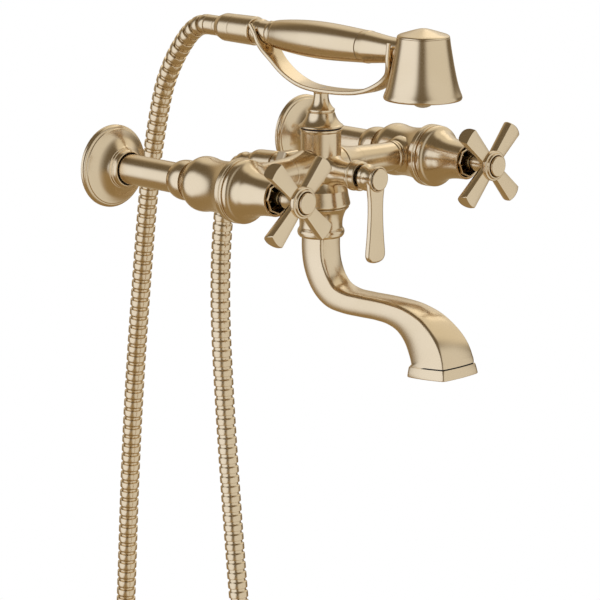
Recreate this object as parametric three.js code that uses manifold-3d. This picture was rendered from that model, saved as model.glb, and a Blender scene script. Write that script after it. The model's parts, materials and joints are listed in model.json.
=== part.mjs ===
// Wall mounted bath mixer: two cross handle valves on wall flanges, a bridge with a diverter
// and a swivelling cast spout, and a telephone style handset on a cradle with its metal hose.
// Millimetres. The origin is on the wall, midway between the two flanges at the height of the
// valve axes. +X is to the right of someone facing the wall, -Y is out of the wall, +Z is up.
import * as THREE from "three";
import { mergeVertices } from "three/addons/utils/BufferGeometryUtils.js";
import Module from "manifold-3d";

const wasm = await Module();
wasm.setup();

// Driving dimensions
const VALVE_SPACING = 203.2; // centre to centre of the two supplies, 8 inches
const COLUMN_REACH = 121.3; // wall to the axis of the centre column
const HANDSET_HEIGHT = 97.2; // handset axis above the valve axes
const HEAD_REACH = 224.4; // wall to the axis of the shower head
const GAP = 0.3; // clearance left between pieces that touch

const FLANGE_RADIUS = 31.7;
const ARM_RADIUS = 11.4;
const ARM_BORE = 8.2;
const INLET_RADIUS = 10.45;
const INLET_LENGTH = 12;
const BRIDGE_BORE = 7.5;
const STEM_RADIUS = 3.6;

const HANDLE_FRONT = 203; // wall to the flat front of the handle arms
const HANDLE_REACH = 37.4; // handle axis to the end of an arm
const HANDLE_BACK = 192.4;

const LEVER_FRONT = 180.5;
const LEVER_THICKNESS = 5.3;

const CRADLE_WIDTH = 16;
const FORK_WIDTH = 25.2;
const FORK_TOP = 103.8;
const SLOT_RADIUS = 10.1;

const SPOUT_WALL = 2.1;
const SKIN = 10; // radius that stands for the spout's outside skin
const HOSE_DIAMETER = 16.2;
const HOSE_SIDES = 8;
const HOSE_STEPS = 54;

const OUTLET_TILT = THREE.MathUtils.degToRad(3.3); // the hose outlet points a little down

const SPOUT_SIDES = 16;
const COARSE = 10; // sides of small round pieces
const FINE = 16; // sides of the larger round pieces

// Centre line of the hose in the plane x = 0, as distance in front of the wall and height.
// It leaves the handset's tail, hangs in one loop and comes back to the outlet.
const HOSE_ROUTE = [
  [0.2, HANDSET_HEIGHT],
  [3, 97.15],
  [12, 95.8],
  [23, 90.5],
  [33, 81.5],
  [41, 70],
  [47.5, 57.5],
  [52.5, 45],
  [56.8, 30],
  [65.9, -7.8],
  [72.6, -46],
  [81.9, -116.3],
  [92.8, -211.7],
  [99.5, -288],
  [105.2, -374],
  [109.6, -440],
  [112.2, -500],
  [111.8, -541],
  [101, -581],
  [75, -608],
  [36, -618],
  [-4, -608],
  [-31, -581],
  [-43, -541],
  [-43.4, -500],
  [-36.4, -420],
  [-27.6, -342.7],
  [-19.8, -262.8],
  [-13.9, -191.7],
  [-10.6, -135.4],
  [-10.6, -101.5],
  [-12.2, -72],
  [-15.2, -48],
  [-19.8, -31],
  [-26.3, -17],
  [-34.5, -7.6],
  [-42, -4.6],
  [-44.6, -4.4],
];

const finish = (color, roughness, metalness) =>
  new THREE.MeshStandardMaterial({ color, roughness, metalness });
const gold = finish(0xba9a66, 0.32, 1);
const brass = finish(0xb08d4c, 0.45, 1);
const rubber = finish(0x1d1b19, 0.8, 0);
const plastic = finish(0xa89173, 0.45, 0);
const steel = finish(0xb8b4ac, 0.35, 1);

// A closed section of [radius, height] pairs turned about the Y axis. A section that does not
// start on the axis is closed back to its first point.
function turned(section, sides = FINE) {
  const points = section.map(([radius, height]) => new THREE.Vector2(radius, height));
  if (THREE.ShapeUtils.area(points) < 0) points.reverse();
  if (points[0].x > 0 || points[points.length - 1].x > 0) points.push(points[0].clone());
  return new THREE.LatheGeometry(points, sides);
}

// A plain disc or ring between two heights.
function ring(outer, inner, low, high, sides = COARSE) {
  const section = [
    [inner, low],
    [outer, low],
    [outer, high],
    [inner, high],
  ];
  return turned(section, sides);
}

function outline(points) {
  return new THREE.Shape(points.map(([x, y]) => new THREE.Vector2(x, y)));
}

// A flat outline given a thickness, centred on its own plane.
function slab(shape, thickness, curveSegments = 6) {
  const geometry = new THREE.ExtrudeGeometry(shape, {
    depth: thickness,
    bevelEnabled: false,
    curveSegments,
  });
  return geometry.translate(0, 0, -thickness / 2);
}

function solid(geometry) {
  const bare = geometry.clone();
  bare.deleteAttribute("normal");
  bare.deleteAttribute("uv");
  const merged = mergeVertices(bare, 1e-4);
  const mesh = new wasm.Mesh({
    numProp: 3,
    vertProperties: new Float32Array(merged.getAttribute("position").array),
    triVerts: new Uint32Array(merged.index.array),
  });
  return new wasm.Manifold(mesh);
}

function shapeOf(body) {
  const mesh = body.getMesh();
  const geometry = new THREE.BufferGeometry();
  geometry.setAttribute("position", new THREE.BufferAttribute(mesh.vertProperties, 3));
  geometry.setIndex(new THREE.BufferAttribute(mesh.triVerts, 1));
  geometry.computeVertexNormals();
  return geometry;
}

function joined(first, ...others) {
  return shapeOf(others.reduce((body, other) => body.add(solid(other)), solid(first)));
}

function cut(first, ...others) {
  return shapeOf(others.reduce((body, other) => body.subtract(solid(other)), solid(first)));
}

function common(first, other) {
  return shapeOf(solid(first).intersect(solid(other)));
}

// Turned geometry has its axis on Y. These lay that axis along another direction.
const alongX = (geometry) => geometry.rotateZ(-Math.PI / 2);
const alongZ = (geometry) => geometry.rotateX(Math.PI / 2);

const root = new THREE.Group();

function add(group, name, geometry, material) {
  const mesh = new THREE.Mesh(geometry, material);
  mesh.name = name;
  group.add(mesh);
  return mesh;
}

// A group whose +Y axis points straight out of the wall, so that heights in a turned section
// are distances from the wall.
function outward(x, z) {
  const group = new THREE.Group();
  group.position.set(x, 0, z);
  group.rotation.x = Math.PI;
  root.add(group);
  return group;
}

// ---------------------------------------------------------------- valves

function wallFlange() {
  return turned([
    [28.4, 0],
    [FLANGE_RADIUS, 0],
    [FLANGE_RADIUS, 2.2],
    [29.3, 4.2],
    [28.4, 5.6],
    [22, 7.6],
    [17.4, 11.2],
    [14.9, 14.6],
    [14.9, 16.6],
    [14, 18.8],
    [13, 20],
    [12.4, 20],
    [12.4, 17],
    [13.7, 17],
    [13.7, 10.6],
    [26, 4],
    [28.4, 2],
  ]);
}

function supplyArm() {
  return turned([
    [7.4, -INLET_LENGTH],
    [INLET_RADIUS, -INLET_LENGTH],
    [INLET_RADIUS, 1],
    [ARM_RADIUS, 2],
    [ARM_RADIUS, 86],
    [ARM_BORE, 86],
    [ARM_BORE, 2],
    [7.4, 1],
  ]);
}

function unionNut() {
  return turned([
    [11.75, 73.4],
    [12.6, 74.6],
    [14.2, 78],
    [14.7, 80.8],
    [14.7, 85.2],
    [14.2, 88.6],
    [11.75, 88.6],
  ]);
}

// The body is bored from both ends and through its side, where the bridge joins it.
function valveBody(side) {
  const body = turned([
    [9, 88.9],
    [14, 88.9],
    [15.2, 91],
    [18.2, 95.6],
    [20.1, 100],
    [20.4, 104],
    [19.6, 110],
    [19, 117],
    [19.3, 124],
    [20.2, 130],
    [21.6, 134],
    [22.4, 136.4],
    [15.2, 136.4],
    [15.2, 104],
    [9, 99],
  ]);
  const boss = alongX(
    turned([
      [BRIDGE_BORE, 12],
      [14.6, 12],
      [14.6, 16.6],
      [13.2, 19.6],
      [12, 22.4],
      [BRIDGE_BORE, 22.4],
    ]),
  );
  const port = alongX(ring(BRIDGE_BORE, 0, 10, 30));
  const chamber = ring(15.2, 0, 104, 136.4, FINE);
  for (const piece of [boss, port]) piece.scale(side, 1, 1).translate(0, COLUMN_REACH, 0);
  if (side < 0) [boss, port].forEach(turnFacesRound);
  return cut(joined(body, boss), chamber, port);
}

// A mirrored copy has its faces pointing in, so its corners are put in the other order.
function turnFacesRound(geometry) {
  const index = geometry.index.array;
  for (let i = 0; i < index.length; i += 3) [index[i + 1], index[i + 2]] = [index[i + 2], index[i + 1]];
}

function bonnet() {
  return turned([
    [19, 136.8],
    [23.4, 136.8],
    [24.2, 137.8],
    [24.2, 147],
    [21.6, 150.6],
    [18.6, 154.8],
    [16.4, 160],
    [14.8, 167],
    [13.8, 178.4],
    [12.7, 178.4],
    [12.7, 160],
    [16.6, 151.6],
    [19, 146],
  ]);
}

// The cartridge fills the body's chamber and reaches up into the bonnet.
function cartridge() {
  return turned([
    [4, 106],
    [12, 106],
    [13.4, 108],
    [13.4, 112],
    [11, 113],
    [11, 129],
    [13.4, 130],
    [13.4, 150],
    [9.2, 151],
    [9.2, 171],
    [4, 171],
  ], COARSE);
}

function glandNut() {
  const corner = 12;
  const octagon = new THREE.CylinderGeometry(corner, corner, 16, 8).rotateY(Math.PI / 2);
  octagon.translate(0, 170, 0);
  return cut(octagon, ring(9.8, 0, 150, 171.4), ring(10.2, 0, 172.6, 190), ring(4.2, 0, 150, 190));
}

function stem() {
  return turned([
    [0, 110],
    [STEM_RADIUS, 110],
    [STEM_RADIUS, 178.6],
    [4.8, 179.4],
    [4.8, 182.2],
    [STEM_RADIUS, 183],
    [STEM_RADIUS, 197],
    [1.5, 197],
    [1.5, 188],
    [0, 188],
  ], COARSE);
}

// One arm of the handle, seen from the front: narrow at the hub, wide at its rounded end.
function handleArm(angle) {
  const shape = new THREE.Shape();
  shape.moveTo(4, -4.4);
  shape.lineTo(12, -5);
  shape.lineTo(36, -6.9);
  shape.quadraticCurveTo(HANDLE_REACH + 1.6, 0, 36, 6.9);
  shape.lineTo(12, 5);
  shape.lineTo(4, 4.4);
  const depth = HANDLE_FRONT - HANDLE_BACK;
  const geometry = slab(shape, depth, 4).rotateZ(angle);
  return geometry.rotateX(-Math.PI / 2).translate(0, HANDLE_BACK + depth / 2, 0);
}

function crossHandle() {
  const hub = turned([
    [STEM_RADIUS + GAP, 183.6],
    [4.9, 183.6],
    [5.4, 186],
    [6.6, 190],
    [9, 194],
    [11.4, 202.6],
    [11.55, 203.6],
    [11.55, 206],
    [10.6, 207],
    [9, 207.6],
    [8.7, 206.4],
    [8.7, 200],
    [STEM_RADIUS + GAP, 197.4],
  ]);
  const arms = [1, 3, 5, 7].map((eighth) => handleArm((eighth * Math.PI) / 4));
  const recess = ring(8.7, 0, 200, 206.4, FINE);
  const bore = ring(STEM_RADIUS + GAP, 0, 183, 201);
  return cut(joined(hub, ...arms), recess, bore);
}

function handleScrew() {
  return turned([
    [0, 189],
    [1.2, 189],
    [1.2, 200.3],
    [4.2, 200.3],
    [4.2, 202.8],
    [2, 203.2],
    [0, 203.2],
  ], COARSE);
}

function indexCap() {
  return turned([
    [0, 205.2],
    [6.2, 205.2],
    [6.2, 203.6],
    [7.6, 203.6],
    [8.3, 206],
    [8.3, 208.8],
    [7.8, 209.5],
    [0, 209.5],
  ]);
}

function valve(prefix, side) {
  const group = outward((side * VALVE_SPACING) / 2, 0);
  add(group, prefix + "_wall_flange", wallFlange(), gold);
  add(group, prefix + "_flange_seal", ring(13.2, 11.8, 11.2, 16.7, FINE), rubber);
  add(group, prefix + "_supply_arm", supplyArm(), gold);
  add(group, prefix + "_union_nut", unionNut(), gold);
  add(group, prefix + "_union_washer", ring(11.4, 9.2, 86.4, 88.5), rubber);
  add(group, prefix + "_valve_body", valveBody(-side), gold);
  add(group, prefix + "_bonnet_gasket", ring(18.4, 15.4, 137, 138.6, FINE), rubber);
  add(group, prefix + "_bonnet", bonnet(), gold);
  add(group, prefix + "_cartridge", cartridge(), brass);
  add(group, prefix + "_gland_nut", glandNut(), gold);
  add(group, prefix + "_stem", stem(), brass);
  add(group, prefix + "_cross_handle", crossHandle(), gold);
  add(group, prefix + "_handle_screw", handleScrew(), steel);
  add(group, prefix + "_index_cap", indexCap(), gold);
}

// ---------------------------------------------------------------- bridge and column

function centreBody() {
  const column = turned([
    [0, 31.9],
    [15.4, 31.9],
    [16, 31],
    [16, 30],
    [15.15, 28.6],
    [15.15, 0],
    [16.6, -8],
    [19.6, -14.4],
    [20.9, -20],
    [22.1, -25.4],
    [22.1, -26.6],
    [21, -27.4],
    [0, -27.4],
  ]);
  const bridge = turned([
    [0, -36],
    [12.9, -36],
    [14.1, -26],
    [16.3, -17],
    [17, 0],
    [16.3, 17],
    [14.1, 26],
    [12.9, 36],
    [0, 36],
  ]);
  const stub = turned([
    [0, 0],
    [13.4, 0],
    [13.4, 14],
    [11, 18],
    [9.5, 23],
    [9.5, 34],
    [0, 34],
  ]);
  const boss = turned([
    [0, 0],
    [12.4, 0],
    [12, 16],
    [11, 22],
    [11, 29],
    [0, 29],
  ]);
  boss.rotateX(-OUTLET_TILT);
  const outlines = [
    alongX(bridge),
    stub.rotateX(Math.PI),
    boss,
  ];
  const bores = [
    alongZ(ring(11.3, 0, -40, -8, FINE)),
    alongZ(ring(6.5, 0, -10, 20)),
    alongX(ring(BRIDGE_BORE, 0, -40, 40)),
    ring(BRIDGE_BORE, 0, 0, 50).rotateX(Math.PI),
    ring(6, 0, 0, 50).rotateX(-OUTLET_TILT),
  ];
  return cut(joined(alongZ(column), ...outlines), ...bores);
}

function bridgeTube(side) {
  const start = 36 + GAP;
  const end = VALVE_SPACING / 2 - 22.4 - GAP;
  const tube = turned([
    [BRIDGE_BORE, start],
    [12.9, start],
    [11.8, 55],
    [11.2, 68],
    [11, end],
    [BRIDGE_BORE, end],
  ]);
  tube.rotateZ((-side * Math.PI) / 2);
  return tube;
}

function columnCap() {
  return turned([
    [0, 32.3],
    [16.4, 32.3],
    [16.9, 32.9],
    [16.4, 33.8],
    [13.6, 36.4],
    [11.4, 39.6],
    [10.3, 43.4],
    [9.8, 44],
    [10.4, 44.6],
    [10.2, 46],
    [8.8, 47.2],
    [7, 49.6],
    [5.9, 52.6],
    [5.6, 56],
    [5.8, 58.8],
    [2.2, 58.8],
    [2.2, 46],
    [0, 46],
  ]);
}

// Side view of the strap, as distance from the wall and height: the lower line from the tail
// end to the head end, then the upper line back.
const CRADLE_OUTLINE = [
  [56.2, 104.4],
  [61.4, 96.2],
  [66.8, 85.4],
  [75, 77.4],
  [85.6, 69],
  [96.3, 63.4],
  [107, 60.4],
  [119.6, 59.2],
  [138.4, 59.4],
  [153.8, 60.4],
  [164, 61.9],
  [174.2, 64.5],
  [184.3, 68.3],
  [192.6, 73],
  [197.4, 77],
  [200.3, 84],
  [201.2, 92],
  [202.4, 104.4],
  [199.2, 104.4],
  [197.6, 92],
  [196.4, 85.2],
  [193.6, 79.8],
  [183.6, 73.2],
  [174.2, 68.2],
  [164, 65.3],
  [153.8, 63.7],
  [138.4, 62.6],
  [119.6, 62.5],
  [107.6, 63.7],
  [97.6, 66.6],
  [87.4, 71.9],
  [77.4, 79.8],
  [70, 87],
  [64.4, 97.8],
  [60, 104.4],
];

function cradle() {
  const side = slab(outline(CRADLE_OUTLINE), FORK_WIDTH).rotateX(Math.PI / 2);
  side.rotateZ(-Math.PI / 2);
  const narrow = CRADLE_WIDTH / 2;
  const wide = FORK_WIDTH / 2;
  const front = new THREE.Shape();
  front.moveTo(-narrow, 50);
  front.lineTo(narrow, 50);
  front.lineTo(narrow, 74);
  front.quadraticCurveTo(narrow + 0.4, 84, wide, 92);
  front.lineTo(wide, FORK_TOP - 1.2);
  front.lineTo(wide - 1.2, FORK_TOP);
  front.lineTo(1.2 - wide, FORK_TOP);
  front.lineTo(-wide, FORK_TOP - 1.2);
  front.lineTo(-wide, 92);
  front.quadraticCurveTo(-narrow - 0.4, 84, -narrow, 74);
  const slot = new THREE.Shape();
  slot.absarc(0, HANDSET_HEIGHT + 1, SLOT_RADIUS, Math.PI, 0, false);
  slot.lineTo(SLOT_RADIUS, FORK_TOP + 20);
  slot.lineTo(-SLOT_RADIUS, FORK_TOP + 20);
  const through = (shape) => slab(shape, 400).rotateX(Math.PI / 2);
  const screwHole = alongZ(turned([
    [0, 40],
    [2.3, 40],
    [2.3, 60.4],
    [4.4, 62.3],
    [4.4, 70],
    [0, 70],
  ], COARSE)).translate(0, -COLUMN_REACH, 0);
  return cut(common(side, through(front)), through(slot), screwHole);
}

function cradleScrew() {
  return turned([
    [0, 47],
    [1.9, 47],
    [1.9, 60.2],
    [3.9, 62.2],
    [0, 62.2],
  ], COARSE);
}

function spoutCollar() {
  return turned([
    [11.3, -27.7],
    [21, -27.7],
    [21.2, -28.4],
    [19.4, -30.4],
    [17.6, -34],
    [16.3, -39],
    [16.2, -43],
    [17.3, -46.2],
    [17.4, -49],
    [16.4, -51],
    [11.3, -51],
  ]);
}

// ---------------------------------------------------------------- spout

// Distance from the wall, height, half depth in the plane of the bend, half width across it,
// and the power that squares the section: 2 is an ellipse.
const SPOUT_STATIONS = [
  [121.3, -51.4, 11.4, 11.4, 6],
  [121.3, -60, 11.4, 11.4, 6],
  [122.8, -69.4, 11.4, 11.4, 6],
  [126.3, -78.3, 11.4, 11.4, 6],
  [131.6, -86.2, 11, 11.4, 6],
  [139.8, -92.4, 10.2, 11.4, 6],
  [153, -95.4, 8.9, 11.4, 6],
  [170, -95.7, 8.6, 11.4, 6],
  [187, -95.3, 8.6, 11.6, 6],
  [202, -95.9, 9.2, 12.2, 6],
  [216, -98.8, 11.2, 13.4, 6],
  [229, -105.4, 14.2, 15.4, 6],
  [239.4, -114.6, 16.8, 17.2, 6],
  [244.6, -122, 17.8, 18, 6],
  [246.2, -126.4, 18.2, 18.4, 6],
  [246.4, -127.6, 19.8, 20, 6],
  [246.9, -134.6, 20.4, 20.6, 6],
];

// Maps a tube turned about Y, whose heights run from 0 to 1, onto the spout's stations.
// Radius SKIN lands on the outside skin, and any smaller radius lands inside it.
function onSpout(geometry) {
  const at = (column) => SPOUT_STATIONS.map((station) => station[column]);
  const path = new THREE.CatmullRomCurve3(
    SPOUT_STATIONS.map(([reach, height]) => new THREE.Vector3(0, -reach, height)),
    false,
    "centripetal",
  );
  const last = SPOUT_STATIONS.length - 1;
  const value = (list, t) => {
    const low = Math.min(Math.floor(t * last), last - 1);
    return THREE.MathUtils.lerp(list[low], list[low + 1], t * last - low);
  };
  const [depths, widths, powers] = [at(2), at(3), at(4)];
  const position = geometry.getAttribute("position");
  for (let i = 0; i < position.count; i++) {
    const t = THREE.MathUtils.clamp(position.getY(i), 0, 1);
    const angle = Math.atan2(position.getZ(i), position.getX(i));
    const inset = SKIN - Math.hypot(position.getX(i), position.getZ(i));
    const [c, s, power] = [Math.cos(angle), Math.sin(angle), value(powers, t)];
    const square = (Math.abs(c) ** power + Math.abs(s) ** power) ** (-1 / power);
    const centre = path.getPoint(t);
    const ahead = path.getTangent(t);
    const x = -c * square * (value(widths, t) - inset);
    const n = s * square * (value(depths, t) - inset);
    position.setXYZ(i, x, centre.y + ahead.z * n, centre.z - ahead.y * n);
  }
  return geometry;
}

function spout() {
  const steps = SPOUT_STATIONS.length - 1;
  const outside = [];
  const inside = [];
  for (let i = 0; i <= steps; i++) {
    outside.push([SKIN, i / steps]);
    inside.unshift([SKIN - SPOUT_WALL, i / steps]);
  }
  const tube = onSpout(turned([...outside, ...inside], SPOUT_SIDES));
  const spigot = alongZ(
    turned([
      [7.4, -53.6],
      [10.6, -53.6],
      [10.6, -51.6],
      [10.2, -51],
      [10.2, -24],
      [9, -24],
      [9, -21],
      [10.2, -21],
      [10.2, -12],
      [7.4, -12],
    ]),
  ).translate(0, -COLUMN_REACH, 0);
  return joined(tube, spigot);
}

// A square insert with a grid of holes, lying just inside the spout's mouth.
function flowStraightener() {
  const half = 12.5;
  const shape = outline([
    [-half, -half],
    [half, -half],
    [half, half],
    [-half, half],
  ]);
  const pitch = 7.6;
  const hole = 2.7;
  for (const column of [-1, 0, 1]) {
    for (const row of [-1, 0, 1]) {
      const path = new THREE.Path();
      path.absarc(column * pitch, row * pitch, hole, 0, 2 * Math.PI, true);
      shape.holes.push(path);
    }
  }
  const [reach, height] = SPOUT_STATIONS[SPOUT_STATIONS.length - 1];
  return slab(shape, 4, 3).rotateX(0.09).translate(0, -reach + 0.2, height + 3.4);
}

// ---------------------------------------------------------------- diverter

function diverterCollar() {
  return turned([
    [9.8, 155.6],
    [10.9, 155.6],
    [11.5, 156.3],
    [11.5, 158],
    [11, 158.5],
    [11.2, 159.1],
    [11.2, 163.4],
    [10.5, 164.4],
    [8.6, 164.4],
    [8.6, 162.6],
    [7.2, 162.6],
    [7.2, 155.6],
  ]);
}

function diverterCartridge() {
  return turned([
    [4.4, 130],
    [7.1, 130],
    [7.1, 155.2],
    [6.8, 155.2],
    [6.8, 163.4],
    [4.4, 163.4],
  ], COARSE);
}

function diverterStem() {
  return turned([
    [0, 132],
    [4, 132],
    [4, 165],
    [3.6, 166],
    [3.6, 176],
    [1.5, 176],
    [1.5, 170],
    [0, 170],
  ], COARSE);
}

// A blade that hangs from its hub: narrow below the hub and wide at its rounded tip.
function diverterLever() {
  const shape = new THREE.Shape();
  shape.moveTo(-8.6, 0);
  shape.bezierCurveTo(-8, -12, -6.3, -14, -6.3, -23);
  shape.bezierCurveTo(-6.3, -34, -8.2, -46, -8.8, -57);
  shape.quadraticCurveTo(0, -69, 8.8, -57);
  shape.bezierCurveTo(8.2, -46, 6.3, -34, 6.3, -23);
  shape.bezierCurveTo(6.3, -14, 8, -12, 8.6, 0);
  const blade = slab(shape, LEVER_THICKNESS, 7).rotateX(-Math.PI / 2);
  blade.translate(0, LEVER_FRONT - LEVER_THICKNESS / 2, 0);
  const hub = turned([
    [STEM_RADIUS + GAP, 166.4],
    [8, 166.4],
    [10, 168.6],
    [10, 171],
    [9, 173.4],
    [9.2, 176],
    [9.6, 180.4],
    [9.6, 181.4],
    [8.8, 182],
    [8.4, 181.2],
    [8.4, 179],
    [STEM_RADIUS + GAP, 176.4],
  ]);
  const recess = ring(8.4, 0, 179, 181.2, FINE);
  const bore = ring(STEM_RADIUS + GAP, 0, 160, 179.5);
  return cut(joined(hub, blade), recess, bore);
}

function leverScrew() {
  return turned([
    [0, 170.6],
    [1.2, 170.6],
    [1.2, 179.4],
    [4, 179.4],
    [4, 180.6],
    [0, 180.6],
  ], COARSE);
}

function leverCap() {
  return turned([
    [0, 181],
    [7.4, 181],
    [8, 181.6],
    [8.1, 182.4],
    [7.6, 183],
    [0, 183],
  ]);
}

// ---------------------------------------------------------------- hose and its outlet

function outletNipple() {
  return turned([
    [6.2, 29.3],
    [10.4, 29.3],
    [11, 30.2],
    [11, 38],
    [10.2, 40.4],
    [9.4, 41],
    [9.4, 46],
    [8, 46.4],
    [8, 55],
    [5, 55],
    [5, 38],
    [6.2, 37],
  ], COARSE);
}

function outletNut() {
  return turned([
    [8.3, 46.8],
    [9.8, 46.8],
    [10.2, 47.6],
    [10.2, 66.6],
    [9.4, 69.6],
    [8.6, 71],
    [6.9, 71],
    [6.9, 58.6],
    [8.3, 58.6],
  ], COARSE);
}

function outletTail() {
  return turned([
    [4.4, 57.4],
    [8, 57.4],
    [8, 58.3],
    [6.6, 58.3],
    [6.6, 73.6],
    [7.2, 74],
    [7.2, 76.4],
    [4.4, 76.4],
  ], COARSE);
}

function hose() {
  const path = new THREE.CatmullRomCurve3(
    HOSE_ROUTE.map(([y, z]) => new THREE.Vector3(0, y, z)),
    false,
    "centripetal",
  );
  const section = new THREE.Shape();
  for (let i = 0; i < HOSE_SIDES; i++) {
    const angle = (2 * Math.PI * i) / HOSE_SIDES;
    const [x, y] = [Math.cos(angle), Math.sin(angle)].map((part) => (part * HOSE_DIAMETER) / 2);
    if (i) section.lineTo(x, y);
    else section.moveTo(x, y);
  }
  return new THREE.ExtrudeGeometry(section, {
    steps: HOSE_STEPS,
    curveSegments: 1,
    extrudePath: path,
  });
}

// ---------------------------------------------------------------- handset

// The shower head is a bell that hangs below the neck, with its axis vertical.
const HEAD_TOP = 110.4;
const HEAD_BOTTOM = 66.4;
const HEAD_OUTSIDE = [
  [0, HEAD_TOP],
  [19.2, HEAD_TOP],
  [19.5, 109],
  [20.7, 99],
  [22.6, 88],
  [25, 77.4],
  [27.2, 70.6],
  [28.3, 68.4],
  [27.8, HEAD_BOTTOM],
  [0, HEAD_BOTTOM],
];

function handsetFerrule() {
  return turned([
    [4.6, 0.2],
    [7.6, 0.2],
    [7.8, 1],
    [7.8, 12.6],
    [7, 13.4],
    [7, 24],
    [8.4, 24.4],
    [8.4, 26],
    [4.6, 26],
  ], COARSE);
}

function handsetNut() {
  return turned([
    [7.3, 13.8],
    [8, 13.8],
    [10, 19.6],
    [10.1, 28],
    [9.8, 28.4],
    [10.2, 28.9],
    [10.7, 51.6],
    [10.3, 52.6],
    [9, 52.6],
    [9, 23.7],
    [7.3, 23.7],
  ]);
}

function handsetTail() {
  return turned([
    [5, 27],
    [8.6, 27],
    [8.6, 52.9],
    [9.5, 53.6],
    [9.5, 58],
    [8.8, 59.4],
    [8.7, 69],
    [9.6, 70.6],
    [9.6, 72.4],
    [9, 73.2],
    [6.5, 73.2],
    [6.5, 84],
    [5, 84],
  ]);
}

function handsetGrip() {
  return turned([
    [6.8, 73.6],
    [9.4, 73.6],
    [10.5, 74.6],
    [10.9, 76.6],
    [12, 86],
    [13.1, 100],
    [13.5, 114],
    [13.4, 128],
    [12.8, 144],
    [11.9, 160],
    [11.5, 166],
    [6.8, 166],
  ]);
}

function handsetNeck() {
  const neck = turned([
    [5, 156],
    [6.5, 156],
    [6.5, 166.4],
    [10.9, 166.4],
    [11.2, 167.4],
    [11.1, 173],
    [10, 182],
    [9.1, 190],
    [8.75, 196],
    [8.75, 208],
    [5, 208],
  ]);
  const bell = turned(HEAD_OUTSIDE.map(([radius, height]) => [radius + GAP, height]));
  bell.rotateX(-Math.PI / 2).translate(0, HEAD_REACH, HANDSET_HEIGHT);
  return cut(neck, bell);
}

function headBell() {
  const inside = [
    [25.9, HEAD_BOTTOM],
    [25.9, 69],
    [22.6, 79],
    [20.2, 90],
    [18.2, 102],
    [17.6, HEAD_TOP],
  ];
  return alongZ(turned([...HEAD_OUTSIDE.slice(1, -1), ...inside]));
}

function headCap() {
  return turned([
    [0, HEAD_TOP + 0.3],
    [19, HEAD_TOP + 0.3],
    [19.4, HEAD_TOP + 1],
    [19, HEAD_TOP + 2],
    [12, HEAD_TOP + 4],
    [5, HEAD_TOP + 6],
    [0, HEAD_TOP + 6.8],
  ]);
}

// The spray plate closes the bell's mouth, with a low dome in the middle of it.
function sprayFace() {
  return turned([
    [0, 57.6],
    [4, 58],
    [7.6, 60],
    [9, 62.6],
    [10.4, 64.2],
    [22, 65.2],
    [25, 66.4],
    [25.6, 67.6],
    [25, 69.6],
    [0, 69.6],
  ]);
}

function buildCentre() {
  const bridge = new THREE.Group();
  bridge.position.y = -COLUMN_REACH;
  root.add(bridge);
  add(bridge, "centre_body", centreBody(), gold);
  add(bridge, "hot_bridge_tube", bridgeTube(-1), gold);
  add(bridge, "cold_bridge_tube", bridgeTube(1), gold);

  const column = new THREE.Group();
  column.position.y = -COLUMN_REACH;
  column.rotation.x = Math.PI / 2;
  root.add(column);
  add(column, "cradle_post", columnCap(), gold);
  add(column, "cradle_screw", cradleScrew(), steel);
  add(column, "spout_collar", spoutCollar(), gold);
  add(column, "spout_o_ring", ring(10.8, 9.4, -23.7, -21.3, FINE), rubber);
  add(root, "cradle", cradle(), gold);
  add(root, "spout", spout(), gold);
  add(root, "flow_straightener", flowStraightener(), plastic);
}

function buildDiverter() {
  const diverter = outward(0, 0);
  add(diverter, "diverter_collar", diverterCollar(), gold);
  add(diverter, "diverter_cartridge", diverterCartridge(), brass);
  add(diverter, "diverter_stem", diverterStem(), brass);
  add(diverter, "diverter_lever", diverterLever(), gold);
  add(diverter, "lever_screw", leverScrew(), steel);
  add(diverter, "lever_cap", leverCap(), gold);
}

function buildHose() {
  const outlet = new THREE.Group();
  outlet.position.y = -COLUMN_REACH;
  outlet.rotation.x = -OUTLET_TILT;
  root.add(outlet);
  add(outlet, "hose_outlet", outletNipple(), gold);
  add(outlet, "outlet_washer", ring(7.9, 5, 55.3, 57.1), rubber);
  add(outlet, "outlet_nut", outletNut(), gold);
  add(outlet, "outlet_tail", outletTail(), gold);
  add(root, "hose", hose(), gold);
}

function buildHandset() {
  const handset = outward(0, HANDSET_HEIGHT);
  add(handset, "handset_ferrule", handsetFerrule(), gold);
  add(handset, "handset_nut", handsetNut(), gold);
  add(handset, "handset_washer", ring(8.4, 5, 26.3, 26.7), rubber);
  add(handset, "handset_tail", handsetTail(), gold);
  add(handset, "handset_grip", handsetGrip(), gold);
  add(handset, "handset_neck", handsetNeck(), gold);
  const head = new THREE.Group();
  head.position.y = -HEAD_REACH;
  root.add(head);
  add(head, "head_bell", headBell(), gold);
  const turnedHead = new THREE.Group();
  turnedHead.rotation.x = Math.PI / 2;
  head.add(turnedHead);
  add(turnedHead, "head_cap", headCap(), gold);
  add(turnedHead, "spray_face", sprayFace(), plastic);
}

valve("hot", -1);
valve("cold", 1);
buildCentre();
buildDiverter();
buildHose();
buildHandset();

export default root;
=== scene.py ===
import json
import math

import bmesh
import bpy
import numpy as np
from mathutils import Matrix, Vector


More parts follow.
